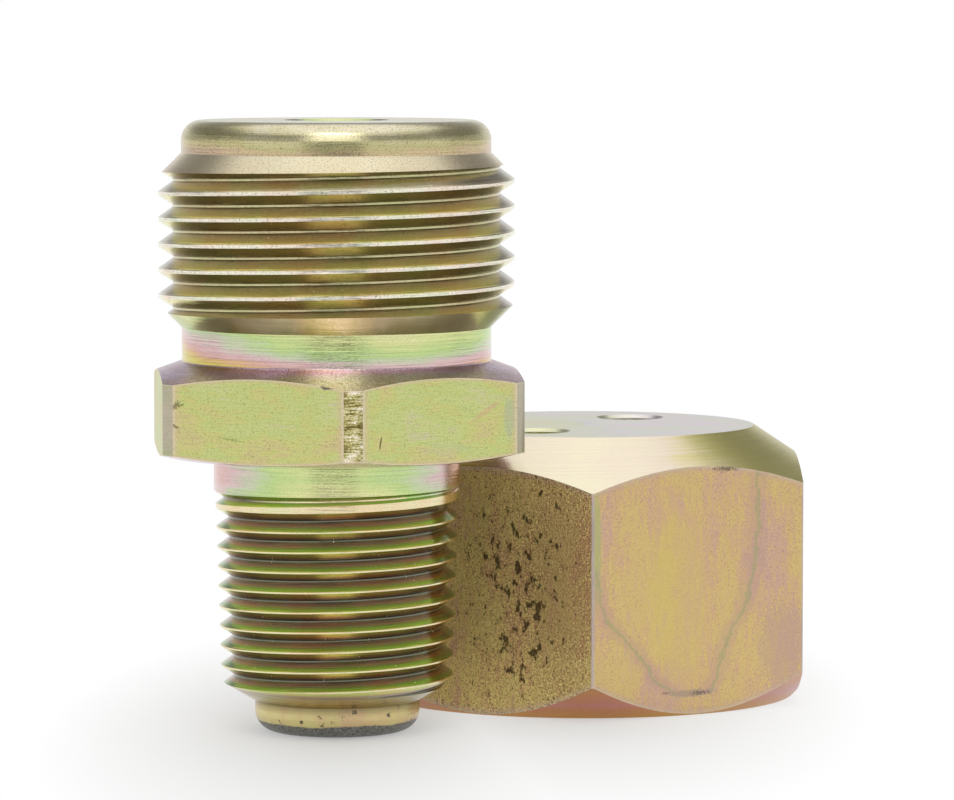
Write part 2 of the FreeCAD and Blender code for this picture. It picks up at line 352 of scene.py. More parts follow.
noseLook = dict(
    platedLook, heights=(41.2, 41.9, 43.5), heightFilm=(0.85, 0.5, 0.1), sideFilm=0.35, sidePower=3.0,
    sideLean=0.05, drift=0.6, driftScale=0.35, rings=0.5, grit=0.4, bump=0.5,
    stops=[(0.0, "#f4ebd4"), (0.35, "#dcd3a8"), (0.6, "#cac38e"), (0.8, "#d8c39a"), (1.0, "#ccb398")])

collarLook = dict(
    platedLook, heights=(26.6, 27.5, 28.85), heightFilm=(0.7, 0.44, 0.26), sideLean=0.25, driftScale=0.25,
    rings=0.3, grit=0.12, bump=0.8, roughness=0.11)

shoulderLook = dict(
    platedLook, heights=(17.3, 18.6, 19.8), heightFilm=(0.30, 0.42, 0.36), sideFilm=0.42, rings=0.25,
    grit=0.15, bump=0.55, roughness=0.17)

bevelLook = dict(
    platedLook, heights=(39.4, 40.3, 41.2), heightFilm=(0.5, 0.3, 0.0), film=0.1, drift=0.6, rings=0.5,
    grit=0.3, roughness=0.24, stops=[(0.0, "#efe6c8"), (0.4, "#e9dcba"), (0.7, "#e6d4b4"), (1.0, "#d8c6a8")])

lowerBevelLook = dict(
    platedLook, heights=(28.85, 29.7, 30.5), heightFilm=(0.4, 0.2, 0.0), film=0.2, drift=0.9, driftScale=0.4,
    roughness=0.22, stops=[(0.0, "#ece6b4"), (0.4, "#dfe2a2"), (0.65, "#c6cc84"), (1.0, "#b2c076")])


# The same plate in a cut thread: each flank is banded along it by the film's thickness, each flank is darker
# towards the root as painted shade in the corners of the root, the upward flanks are darker than the downward
# ones as painted shade, and the crests are rubbed pale and carry a little dust.
def threadChromate(name, look):
    material, tree = newMaterial(name)
    place = latheCoordinates(tree)
    marks = turningMarks(tree, place, 0.06)
    # how far a point is up the flank, from the root to the crest, with the taper taken out
    widening = addNode(tree, "Math", "MULTIPLY_ADD", [
        place["height"], -look["taper"], look["taper"] * look["taperHeight"]])
    straightened = addNode(tree, "Math", "ADD", [place["radius"], widening])
    climb = addNode(tree, "MapRange", inputs=[straightened, look["root"], look["crest"]])
    ringed = addSwing(tree, marks, 0.6, climb)
    # the flats of root and crest are upright, and the flanks are told from them by the way they face
    colour = paintWhere(tree, linear(look["rootFlat"]), look["crestFlat"], climb, (0.45, 0.55), (0.0, 1.0))
    coordinates = addNode(tree, "TexCoord")
    facing = addNode(tree, "SeparateXYZ", inputs={"Vector": coordinates.outputs["Normal"]})
    # the upward flank's colours are darkened as painted shade, and both flanks darken towards their root ends
    # as painted shade
    for stops, levels, strengths in (
        (look["upper"], (0.3, 0.4), (0.0, 1.0)), (look["lower"], (-0.4, -0.3), (1.0, 0.0))):
        flank = addNode(tree, "ValToRGB", inputs={"Fac": ringed}, stops=stops)
        colour = paintWhere(tree, colour, flank, facing.outputs["Z"], levels, strengths)
    drift = addNode(tree, "TexNoise", inputs={"Vector": place["point"], "Scale": 0.3, "Detail": 2.0})
    tint = addNode(tree, "ValToRGB", inputs={"Fac": drift}, stops=[
        (0.35, "#ffeae4"), (0.5, "#ffffff"), (0.62, "#eeffe8")])
    tinted = addNode(
        tree, "Mix", {"data_type": "RGBA", "blend_type": "MULTIPLY"}, {"Factor": 0.42, "A": colour, "B": tint})
    gritty = addGrit(tree, place, tinted, "#5a4c34", look["grit"])[1]
    dust = scatterSpots(tree, place, 1.6, look["dust"], (0.05, 0.09), 0.9)
    dusted = addNode(tree, "Mix", {"data_type": "RGBA"}, {"Factor": dust, "A": gritty, "B": linear("#fdf2dc")})
    metallic = addNode(tree, "Math", "SUBTRACT", [1.0, dust])
    closeMetal(tree, dusted, look["roughness"], marks, 0.5, 0.04, metallic)
    return material


# In both looks the flank colours darken towards the root as painted shade, and the upward flank is darker than
# the downward one as painted shade.
noseThreadLook = {
    "root": f["noseRoot"], "crest": f["threadRadius"], "taper": 0.0, "taperHeight": 0.0, "rootFlat": "#cfc79c",
    "crestFlat": "#faf2e0",
    "upper": [(0.0, "#6c634a"), (0.12, "#8e826c"), (0.4, "#92866f"), (0.8, "#a2987c"), (1.0, "#e0d8bc")],
    "lower": [(0.0, "#b0a684"), (0.12, "#f0e6ba"), (0.35, "#f2e8a6"), (0.7, "#f2e894"), (1.0, "#ece29e")],
    "grit": 0.45, "dust": 0.06, "roughness": 0.15}

pipeThreadLook = {
    "root": pipeRoot, "crest": f["pipeCrest"], "taper": f["pipeTaper"], "taperHeight": f["pipeGaugeHeight"],
    "rootFlat": "#75766a", "crestFlat": "#efe2b8",
    "upper": [(0.0, "#787460"), (0.14, "#a08a78"), (0.4, "#ac927e"), (0.55, "#8aa26c"), (0.84, "#90b064"),
              (1.0, "#d8cc98")],
    "lower": [(0.0, "#cbb98c"), (0.1, "#948e80"), (0.2, "#b2a698"), (0.4, "#cfb48c"), (0.7, "#e6e48c"),
              (1.0, "#eaec84")], "grit": 0.15, "dust": 0.2, "roughness": 0.14}


# The plane of one upright flat: millimetres along it, behind it and up it.
def flatCoordinates(tree, place, turn, halfWidth):
    return addNode(tree, "Mapping", inputs={
        "Vector": place["point"], "Location": (0, halfWidth, 0), "Rotation": (0, 0, math.radians(-turn))})


# A spot on a flat, such as a nick, a scratch, a stain or a painted patch of light: its middle and half its
# size, in millimetres along and up the flat, its strength and colour, how ragged its edge is, and its lean in
# degrees.
def paintSpot(tree, colour, flat, ragged, spot):
    (along, up), (halfAlong, halfUp), strength, spotColour, raggedness, lean = spot
    moved = addNode(tree, "Mapping", {"vector_type": "TEXTURE"}, {
        "Vector": flat, "Location": (along, 0, up), "Rotation": (0, math.radians(lean), 0),
        "Scale": (halfAlong, 0.3, halfUp)})
    away = addNode(tree, "VectorMath", "LENGTH", [moved])
    wavering = addNode(tree, "Math", "MULTIPLY_ADD", [ragged, raggedness, away])
    return paintWhere(tree, colour, spotColour, wavering, (0.75, 1.05), (strength, 0.0))


# The line where the bath dried: each branch is a curve from height to place, over a square as wide as the
# curve's reach, and it is drawn once wide and faint and once narrow.
def paintDriedLine(tree, colour, place, flat, ragged, look):
    reach = 20.0
    spot = addNode(tree, "SeparateXYZ", inputs={"Vector": flat})
    up = addNode(tree, "Math", "DIVIDE", [spot.outputs["Z"], reach])
    onThisFlat = addNode(tree, "Math", "GREATER_THAN", [0.3, spot.outputs["Y"]])
    meander = addNode(tree, "TexNoise", inputs={
        "Vector": place["point"], "Scale": 0.9, "Detail": 3.0, "Roughness": 0.6})
    for branch, bottom, top in look["stain"]:
        along = addNode(tree, "FloatCurve", inputs={"Value": up}, curve=branch)
        centreLine = addNode(tree, "Math", "MULTIPLY_ADD", [along, reach, -reach / 2])
        aside = addNode(tree, "Math", "SUBTRACT", [spot.outputs["X"], centreLine])
        bent = addSwing(tree, meander, 1.4, aside)
        wavy = addNode(tree, "Math", "MULTIPLY_ADD", [ragged, 0.6, bent])
        apart = addNode(tree, "Math", "ABSOLUTE", [wavy])
        here = onThisFlat
        for end, blur, strengths in ((bottom, 0.15, (0.0, 1.0)), (top, 0.3, (1.0, 0.0))):
            within = addNode(tree, "MapRange", inputs=[spot.outputs["Z"], end - blur, end + blur, *strengths])
            here = addNode(tree, "Math", "MULTIPLY", [here, within])
        for width, lineColour, strength in look["stainLine"]:
            near = addNode(tree, "MapRange", inputs=[apart, width * 0.5, width, strength, 0.0])
            shown = addNode(tree, "Math", "MULTIPLY", [near, here])
            colour = addNode(tree, "Mix", {"data_type": "RGBA"}, {
                "Factor": shown, "A": colour, "B": linear(lineColour)})
    return colour


# Pits that rust ate into a flat before it was plated, in ragged clusters about one place.
def paintPitting(tree, colour, place, look):
    pitting = look["pitting"]
    flat = flatCoordinates(tree, place, pitting["turn"], look["halfWidth"])
    area = addNode(tree, "Mapping", {"vector_type": "TEXTURE"}, {
        "Vector": flat, "Location": (pitting["at"][0], 0, pitting["at"][1]),
        "Scale": (pitting["half"][0], 50, pitting["half"][1])})
    away = addNode(tree, "VectorMath", "LENGTH", [area])
    upright = addNode(tree, "VectorMath", "MULTIPLY", [place["point"], (1.0, 1.0, 0.6)])
    clusters = addNode(tree, "TexNoise", inputs={
        "Vector": upright, "Scale": 1.9, "Detail": 5.0, "Roughness": 0.65})
    depth = addNode(tree, "Math", "MULTIPLY_ADD", [away, 0.1, clusters])
    return paintWhere(tree, colour, pitting["colour"], depth, (0.45, 0.51), (0.85, 0.0))


# Flats of hexagon bar, drawn or milled level and then plated: satin, with a fine grain along the cut, small
# pits, and a paler pink rim where the film thins out along the edges.
def flatChromate(name, look, centre=(0, 0)):
    material, tree = newMaterial(name)
    place = latheCoordinates(tree, centre)
    noises = {}
    for kind, detail, roughness in (("grain", 4.0, 0.65), ("cloud", 3.0, 0.55)):
        space = addNode(tree, "VectorMath", "MULTIPLY", [place["point"], look[kind + "Shape"]])
        noises[kind] = addNode(tree, "TexNoise", inputs={
            "Vector": space, "Scale": 1.0, "Detail": detail, "Roughness": roughness})
    fine = addNode(tree, "TexNoise", inputs={
        "Vector": place["point"], "Scale": 8.0, "Detail": 2.0, "Roughness": 0.7})
    ragged = addNode(tree, "Math", "SUBTRACT", [fine, 0.5])
    film = addSwing(tree, noises["grain"], look["grain"], noises["cloud"])
    film = addSwing(tree, fine, look["mottle"], film)
    colour = addNode(tree, "ValToRGB", inputs={"Fac": film}, stops=look["stops"])
    # distance to the nearest edge of the flat: the corners, and the two turned bevels, which are cones
    toEdge = addNode(tree, "Math", "SUBTRACT", [look["corner"], place["radius"]])
    for slope, levelAtAxis, sign in look["rims"]:
        line = addNode(tree, "Math", "MULTIPLY_ADD", [place["radius"], slope * sign, levelAtAxis * sign])
        gap = addNode(tree, "Math", "MULTIPLY_ADD", [place["height"], -sign, line])
        toEdge = addNode(tree, "Math", "MINIMUM", [toEdge, gap])
    width = look["rimWidth"]
    wander = addNode(tree, "Math", "MULTIPLY_ADD", [ragged, width, toEdge])
    colour = paintWhere(tree, colour, look["rim"], wander, (0.3 * width, width), (0.55, 0.0))
    colour = paintWhere(
        tree, colour, look["edge"], wander, (0.12 * width, 0.35 * width), (look["edgeStrength"], 0.0))
    for low, high, fleckColour, strength in look["flecks"]:
        colour = paintWhere(tree, colour, fleckColour, fine, (low, high), (0.0, strength))
    pits = addNode(tree, "TexVoronoi", inputs={"Vector": place["point"], "Scale": 2.4})
    colour = paintWhere(tree, colour, "#626440", pits, (0.08, 0.16), (look["pits"], 0.0))
    for turn, spots in look["marked"]:
        flat = flatCoordinates(tree, place, turn, look["halfWidth"])
        for spot in spots:
            colour = paintSpot(tree, colour, flat, ragged, spot)
        if "stain" in look:
            colour = paintDriedLine(tree, colour, place, flat, ragged, look)
    if "pitting" in look:
        colour = paintPitting(tree, colour, place, look)
    relief = addNode(tree, "Math", "MULTIPLY_ADD", [fine, look["fineBump"], noises["grain"]])
    closeMetal(tree, colour, look["roughness"], relief, look["bump"], 0.05)
    return material


hexLook = {
    "stops": [(0.24, "#d2c48c"), (0.36, "#dacf94"), (0.45, "#d8d686"), (0.54, "#cbd88c"), (0.63, "#d6da90"),
              (0.76, "#d4ceac")],
    "grainShape": (0.6, 0.6, 8.0), "cloudShape": (0.25, 0.25, 0.5), "grain": 0.5, "mottle": 0.4,
    "rims": [(-topSlope, hexTop + f["neckRadius"] * topSlope, 1),
             (footSlope, f["hexFoot"] - f["hexFootRadius"] * footSlope, -1)],
    "corner": f["hexCorner"], "rimWidth": 0.3, "rim": "#e2c4a2", "edge": "#f1e2cc", "edgeStrength": 0.55,
    "flecks": [(0.43, 0.33, "#727848", 0.42), (0.58, 0.68, "#f0e6b4", 0.35)], "pits": 0.22, "fineBump": 0.8,
    "bump": 0.4, "roughness": 0.33,
    "halfWidth": f["hexWidth"] / 2, "marked": [
        (leftFlat, [
            ((5.31, 25.62), (0.62, 0.36), 0.9, "#56595a", 0.8, 0),
            ((-6.3, 23.85), (0.5, 0.24), 0.65, "#6a6040", 4.0, -20),
            ((-6.4, 22.4), (0.3, 0.12), 0.65, "#6a6040", 4.0, 25),
            ((-2.0, 21.6), (1.2, 0.06), 0.45, "#8b8556", 3.0, 8)]),
        (rightFlat, [
            ((3.9, 23.4), (1.5, 0.2), 0.5, "#e0b294", 2.5, -28),
            ((5.9, 22.9), (0.5, 1.6), 0.5, "#b8bea8", 1.6, 0),
            ((-5.1, 21.55), (0.08, 0.5), 0.8, "#5e5a36", 0.8, 10),
            ((0.5, 20.9), (2.2, 0.5), 0.2, "#bcc8b0", 2.0, 0)])]}

hexTopLook = dict(
    hexLook, stops=[(0.3, "#d2b6a4"), (0.5, "#dcbccc"), (0.7, "#ead4f0")], grainShape=(2, 2, 6),
    rims=hexLook["rims"][1:], corner=99, rim="#f2e0ea", edgeStrength=0.0,
    flecks=[(0.46, 0.36, "#6e6648", 0.8), (0.60, 0.66, "#fff6f2", 0.4)], pits=0.3, marked=[], roughness=0.24)

cornerLook = dict(
    hexLook, stops=[(0.3, "#6c6034"), (0.42, "#a89c62"), (0.52, "#d2ca88"), (0.64, "#fff6e4")],
    grainShape=(0.9, 0.9, 10.0), cloudShape=(0.8, 0.8, 0.8), grain=1.2, mottle=0.5, corner=99, rimWidth=0.2,
    bump=1.0, flecks=[], marked=[], roughness=0.24)

plainCornerLook = dict(
    hexLook, stops=[(0.3, "#cfc3ae"), (0.5, "#c8bca8"), (0.7, "#b9bf98")], corner=f["hexCorner"] + 0.35,
    rimWidth=0.4, rim="#b2b884", edgeStrength=0.3, flecks=[(0.42, 0.34, "#8a8076", 0.4)], marked=[])


# Steel that the rolling tool has rubbed bare, grey and matt beside the plate above it.
def rolledLip(name, look):
    material, tree = newMaterial(name)
    place = latheCoordinates(tree)
    marks = turningMarks(tree, place)
    wave = addNode(tree, "TexNoise", inputs={"Vector": place["point"], "Scale": 0.45, "Detail": 5.0})
    edge = addNode(tree, "Math", "MULTIPLY_ADD", [wave, look["wander"], look["bareTop"] - look["wander"] / 2])
    above = addNode(tree, "Math", "SUBTRACT", [place["height"], edge])
    plate = addNode(tree, "ValToRGB", inputs={"Fac": wave}, stops=look["plateStops"])
    # painted shadow: the spigot is darkened towards the corner under the end of the pipe thread, where the pipe
    # end shades it
    shaded = paintWhere(tree, plate, "#6e6244", place["height"], look["corner"], (0.0, 0.75))
    grain = addNode(tree, "TexNoise", inputs={
        "Vector": place["point"], "Scale": 7.0, "Detail": 3.0, "Roughness": 0.7})
    bare = addNode(tree, "ValToRGB", inputs={"Fac": grain}, stops=look["bareStops"])
    pits = scatterSpots(tree, place, 1.3, 0.5, (0.60, 0.68), 0.85, ragged=grain)
    pitted = addNode(tree, "Mix", {"data_type": "RGBA"}, {"Factor": pits, "A": shaded, "B": linear("#46423a")})
    rubbed = (-0.03, 0.05)
    colour = paintWhere(tree, bare, pitted, above, rubbed, (0.0, 1.0))
    rough = addNode(tree, "MapRange", inputs=[above, *rubbed, look["bareRoughness"], look["plateRoughness"]])
    closeMetal(tree, colour, rough, marks, 0.5, 0.05)
    return material


lipLook = {
    "bareTop": 0.86, "wander": 0.5, "bareRoughness": 0.4, "plateRoughness": 0.26,
    # corner: the heights over which the painted shadow under the end of the pipe thread comes in
    "corner": (1.6, f["spigotTop"]), "plateStops": [(0.35, "#d9d092"), (0.5, "#dac98f"), (0.62, "#d8bc90")],
    "bareStops": [(0.35, "#5c5b56"), (0.5, "#7f7e78"), (0.65, "#a3a29a")]}

nosePlate = turnedChromate("turned_yellow_chromate_nose", noseLook)
collarPlate = turnedChromate("turned_yellow_chromate_neck", collarLook)
shoulderPlate = turnedChromate("turned_yellow_chromate_shoulder", shoulderLook)
bevelPlate = turnedChromate("turned_yellow_chromate_top_bevel", bevelLook)
lowerBevelPlate = turnedChromate("turned_yellow_chromate_lower_bevel", lowerBevelLook)
noseThreadPlate = threadChromate("cut_thread_chromate_nose", noseThreadLook)
pipeThreadPlate = threadChromate("cut_thread_chromate_pipe", pipeThreadLook)
hexPlate = flatChromate("milled_yellow_chromate_flats", hexLook)
hexTopPlate = flatChromate("turned_yellow_chromate_hex_bevels", hexTopLook)
cornerPlate = flatChromate("chattered_yellow_chromate_corner", cornerLook)
plainCornerPlate = flatChromate("turned_yellow_chromate_corners", plainCornerLook)
lipSteel = rolledLip("rolled_bare_steel_lip", lipLook)
print("fitting materials made")

lowerOutline = (
    arc(f["spigotRadius"] - f["lipRound"], f["lipRound"], f["lipRound"], -90, 0, 8)
    + [(f["spigotRadius"], f["spigotTop"]), f["pipeEnd"], f["pipeTop"], (f["shoulderRadius"], f["pipeTop"][1]),
       (f["shoulderRadius"], f["hexFoot"] + f["stemInHex"])])
upperOutline = (
    [(f["neckRadius"] + f["neckFillet"], f["hexFoot"] + f["stemInHex"])]
    + arc(f["neckRadius"] + f["neckFillet"], hexTop + f["neckFillet"] / 2, f["neckFillet"], -90, -180, 4)
    + [(f["neckRadius"], f["threadFoot"]), (f["threadRadius"], f["threadFoot"] + bevelRun),
       (f["threadRadius"], f["noseFoot"] - bevelRun), (f["neckRadius"], f["noseFoot"])]
    + arc(f["neckRadius"] - f["noseRound"], f["noseTop"] - f["noseRound"], f["noseRound"], 0, 90, 10))
boreOutline = [
    (f["outletRadius"] + f["outletBevel"], f["noseTop"]), (f["outletRadius"], f["noseTop"] - f["outletBevel"]),
    (f["outletRadius"], f["seatTop"]), (f["chamberRadius"], f["chamberRoof"]),
    (f["chamberRadius"], f["lipThickness"]), (f["lipBore"], f["lipThickness"]), (f["lipBore"], 0)]
fittingShell = turnOnLathe("fitting_shell", lowerOutline + upperOutline + boreOutline)
print("fitting turned:", len(fittingShell.data.polygons), "faces")

# The hexagon is a bar with its corners turned off, joined on round the stem. The turned shape reaches a little
# past the bar, and is turned by half a facet so that its facets don't lie on the neck's.
hexBar = hexagonBar("hexagon", f["hexWidth"], f["hexFoot"], f["hexHeight"], f["hexTurn"])
reachPast = 0.5
barBelow = f["hexFoot"] - 1
hexEnvelope = turnOnLathe("hexagon_bevels", [
    (f["hexFootRadius"], f["hexFoot"]),
    (f["hexCorner"], f["hexFoot"] + (f["hexCorner"] - f["hexFootRadius"]) * footSlope),
    (f["hexCorner"], hexTop - (f["hexCorner"] - f["neckRadius"]) * topSlope),
    (f["neckRadius"] - reachPast, hexTop + reachPast * topSlope),
    (f["coreRadius"], hexTop + reachPast * topSlope),
    (f["coreRadius"], barBelow), (f["hexFootRadius"] - reachPast, barBelow),
    (f["hexFootRadius"] - reachPast, f["hexFoot"])])
hexEnvelope.rotation_euler = (0, 0, halfFacet)
combine(hexBar, hexEnvelope, "INTERSECT")
combine(fittingShell, hexBar, "UNION")
print("hexagon joined:", len(fittingShell.data.polygons), "faces")


# Both threads are cut by a wound section: root flat, two flanks near 30 degrees, and a mouth just past the
# crests. Its lower edge is wider there, which wears the upper corner of each crest.
def grooveSection(root, rootFlat, crest, pitch, crestFlat):
    past = 0.12
    mouth = (pitch - crestFlat) / 2
    wear = f["crestWear"]
    return [
        (root, -rootFlat / 2), (crest - wear, -mouth), (crest + past, -mouth - wear - past),
        (crest + past, mouth + past * math.tan(math.radians(30))), (root, rootFlat / 2)]


noseCutter = threadCutter(
    "nose_groove",
    grooveSection(f["noseRoot"], f["noseRootFlat"], f["threadRadius"], f["nosePitch"], f["noseCrestFlat"]),
    f["nosePitch"], f["noseTurns"], f["noseGrooveAtFront"] - f["noseTurnsToFront"] * f["nosePitch"])
combine(fittingShell, noseCutter, "DIFFERENCE")

pipeStart = f["pipeGrooveAtFront"] - f["pipeTurnsToFront"] * f["pipePitch"]
pipeSection = grooveSection(pipeRoot, f["pipeRootFlat"], f["pipeCrest"], f["pipePitch"], f["pipeCrestFlat"])
pipeCutter = threadCutter("pipe_groove", pipeSection, f["pipePitch"], f["pipeTurns"], pipeStart)
for vertex in pipeCutter.data.vertices:
    # the groove follows the taper, and lifts out of the metal in its last turn below the shoulder
    turn = (vertex.index // len(pipeSection)) / roundSteps
    height = pipeStart + turn * f["pipePitch"]
    lift = min(max(turn - f["pipeRunOutTurn"], 0), 1.4) * f["pipeDepth"]
    reach = math.hypot(vertex.co.x, vertex.co.y)
    wanted = reach + (height - f["pipeGaugeHeight"]) * f["pipeTaper"] + lift
    vertex.co.x *= wanted / reach
    vertex.co.y *= wanted / reach
combine(fittingShell, pipeCutter, "DIFFERENCE")
print("threads cut:", len(fittingShell.data.polygons), "faces")


def fittingFinish(centre, normal):
    near = 0.05
    reach = math.hypot(centre.x, centre.y)
    outward = (normal.x * centre.x + normal.y * centre.y) / max(reach, 1e-6)
    if reach < f["lipBore"] + near and centre.z < f["noseTop"] - 2 * near:
        return shoulderPlate
    if centre.z < f["spigotTop"] + near:
        return lipSteel
    if centre.z < f["pipeTop"][1] - near:
        return pipeThreadPlate
    if centre.z < f["hexFoot"] - 0.01 and reach < f["shoulderRadius"] + 2 * near:
        return shoulderPlate
    if centre.z < hexTop + near:
        if abs(normal.z) > 0.15:
            return hexTopPlate
        if reach < f["hexCorner"] - 2 * near:
            return hexPlate
        # the tool chattered on the corner at the front
        return cornerPlate if centre.y < f["chatterFront"] else plainCornerPlate
    if centre.z < f["threadFoot"] + near:
        return collarPlate
    if centre.z > f["noseFoot"] - 2 * near:
        return nosePlate
    turnedBevel = 0.68 < abs(normal.z) < 0.73 and outward > 0.6
    if turnedBevel and normal.z < 0 and centre.z < f["threadFoot"] + bevelRun + 2 * near:
        return lowerBevelPlate
    if turnedBevel and normal.z > 0 and centre.z > f["noseFoot"] - bevelRun - 3 * near:
        return bevelPlate
    return noseThreadPlate


finishPiece(fittingShell, [
    nosePlate, collarPlate, shoulderPlate, bevelPlate, noseThreadPlate, pipeThreadPlate, hexPlate, lipSteel,
    hexTopPlate, cornerPlate, plainCornerPlate, lowerBevelPlate], fittingFinish)
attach(fittingShell, "fitting")
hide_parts("check_fitting")

# The cap, in millimetres about its own axis, mouth down.
cap = {
    "width": 31.75, "height": 20.2, "faceRadius": 12.8, "topAngle": 33.5, "footRadius": 15.8, "footAngle": 45,
    "bore": 11.72, "boreDepth": 17.2, "mouthBevel": 1.0, "ventRadius": 2.38, "ventCircle": 7.6,
    "ventBevel": 0.25, "ventDepth": 6, "ventsAt": (60, 240), "edgeBevel": 0.13, "pipRadius": 1.3,
    "pipDepth": 0.06, "pitch": 1.814, "threadRadius": 12.72, "threadFoot": -1.1, "threadTurns": 8,
    "grooveMouth": 0.86, "grooveRoot": 0.12, "turn": 1.0, "right": 18.0, "back": 21.5,
}
c = cap
capTopSlope = math.tan(math.radians(c["topAngle"]))
capFootSlope = math.tan(math.radians(c["footAngle"]))
leftCapFlat, rightCapFlat = c["turn"] - 30, c["turn"] + 30
capCentre = (c["right"], c["back"])
axisGap = 0.001          # outlines start just off the axis, where the lathe would close them to a point

capShell = hexagonBar("cap_shell", c["width"], 0, c["height"], 0, c["edgeBevel"])
capReach = c["width"] * 0.7
capEnvelope = turnOnLathe("cap_bevels", [
    (axisGap, 0), (c["footRadius"], 0), (capReach, (capReach - c["footRadius"]) * capFootSlope),
    (capReach, c["height"] - (capReach - c["faceRadius"]) * capTopSlope),
    (c["faceRadius"], c["height"]), (c["pipRadius"], c["height"]), (axisGap, c["height"] - c["pipDepth"])])
capEnvelope.rotation_euler = (0, 0, halfFacet * 0.6)
combine(capShell, capEnvelope, "INTERSECT")
capBore = turnOnLathe("cap_bore", [
    (axisGap, -1), (c["bore"] + c["mouthBevel"] + 1, -1), (c["bore"], c["mouthBevel"]),
    (c["bore"], c["boreDepth"]), (axisGap, c["boreDepth"])])
combine(capShell, capBore, "DIFFERENCE")
insideBore = c["bore"] - 0.2
capGroove = threadCutter("cap_groove", [
    (insideBore, -c["grooveMouth"]), (insideBore, c["grooveMouth"]), (c["threadRadius"], c["grooveRoot"]),
    (c["threadRadius"], -c["grooveRoot"])], c["pitch"], c["threadTurns"], c["threadFoot"])
combine(capShell, capGroove, "DIFFERENCE")
for side in c["ventsAt"]:
    # each vent is drilled through the face, and its edge is broken by a small countersink
    angle = math.radians(side)
    drillFoot, countersinkFoot = c["height"] - c["ventDepth"], c["height"] - c["ventBevel"]
    drill = turnOnLathe("vent_drill", [
        (axisGap, drillFoot), (c["ventRadius"], drillFoot), (c["ventRadius"], countersinkFoot),
        (c["ventRadius"] + c["ventBevel"], c["height"]), (c["ventRadius"] + c["ventBevel"], c["height"] + 1),
        (axisGap, c["height"] + 1)])
    drill.location = (c["ventCircle"] * math.cos(angle), c["ventCircle"] * math.sin(angle), 0)
    combine(capShell, drill, "DIFFERENCE")
print("cap made:", len(capShell.data.polygons), "faces")

capFaceLook = dict(
    platedLook, heights=(19.0, 19.5, 20.2), heightFilm=(0.0, 0.0, 0.0), film=0.7, sideFilm=-0.3, sidePower=1.0,
    sideLean=1.0, drift=1.3, driftScale=0.14, rings=0.3, grit=0.08, bump=0.3, roughness=0.28,
    stops=[(0.0, "#ebe8b8"), (0.3, "#ebecd0"), (0.5, "#efe6ea"), (0.65, "#eaecd8"), (0.8, "#f2e2ea"),
           (1.0, "#f0ecec")])

capChamferLook = dict(
    platedLook, heights=(14.0, 17.0, 20.2), heightFilm=(0.1, 0.0, 0.05), sideFilm=0.95, sidePower=1.6,
    drift=0.5, driftScale=0.16, rings=0.45, grit=0.06, roughness=0.26,
    stops=[(0.0, "#f8eed0"), (0.22, "#f6e6d2"), (0.36, "#f0e2b4"), (0.52, "#e2d88c"), (0.75, "#d8ce7c"),
           (1.0, "#c6bc6c")])

capFootLook = dict(
    platedLook, heights=(0.0, 1.0, 2.4), heightFilm=(0.05, 0.55, 0.25), sideFilm=0.1, drift=0.5,
    driftScale=0.25, bump=0.4, roughness=0.3,
    stops=[(0.0, "#c79a58"), (0.4, "#c48c66"), (0.7, "#c4888a"), (1.0, "#b8907c")])

capFlatLook = {
    "stops": [(0.26, "#d4b0a0"), (0.38, "#d9b496"), (0.48, "#dcbb8a"), (0.58, "#dfc680"), (0.68, "#dab892"),
              (0.78, "#cdb2a4")],
    "grainShape": (2.5, 2.5, 0.5), "cloudShape": (0.24, 0.24, 0.1), "grain": 0.6, "mottle": 0.5,
    "rims": [(-capTopSlope, c["height"] + c["faceRadius"] * capTopSlope, 1),
             (capFootSlope, -c["footRadius"] * capFootSlope, -1)],
    "corner": 99, "rimWidth": 0.6, "rim": "#d3b3a2", "edge": "#d8cdb8", "edgeStrength": 0.5,
    "flecks": [(0.56, 0.66, "#efd582", 0.5), (0.42, 0.34, "#8e7648", 0.35)], "pits": 0.25, "fineBump": 0.8,
    "bump": 0.45, "roughness": 0.42,
    "stain": [
        ([(0.08, 0.545), (0.12, 0.575), (0.26, 0.615), (0.31, 0.65), (0.37, 0.695), (0.445, 0.722),
          (0.55, 0.744), (0.66, 0.757), (0.77, 0.76), (0.9, 0.75)], 1.5, 17.6),
        ([(0.08, 0.39), (0.14, 0.31), (0.195, 0.265), (0.25, 0.225), (0.29, 0.18), (0.34, 0.125),
          (0.425, 0.072), (0.5, 0.06), (0.59, 0.05), (0.75, 0.045)], 1.6, 11.0)],
    "stainLine": [(1.1, "#c8a198", 0.35), (0.24, "#a6ad7e", 0.5)],
    "halfWidth": c["width"] / 2, "marked": [
        (rightCapFlat, [
            ((-8.95, 12.6), (0.55, 4.6), 0.75, "#b9be82", 1.2, 0),
            ((-0.7, 1.6), (2.2, 0.3), 0.75, "#b09c90", 1.5, 0),
            ((0.1, 1.6), (0.7, 0.12), 0.65, "#4c4438", 5.0, 0),
            ((-2.9, 1.75), (0.4, 0.1), 0.6, "#5a5040", 5.0, 0),
            ((2.4, 17.9), (1.0, 0.2), 0.7, "#5a5446", 4.0, 0),
            ((7.4, 4.6), (2.4, 3.4), 0.5, "#c8a896", 1.5, 0),
            ((-2.0, 8.5), (2.6, 6.5), 0.45, "#dfca74", 2.0, 0)])]}

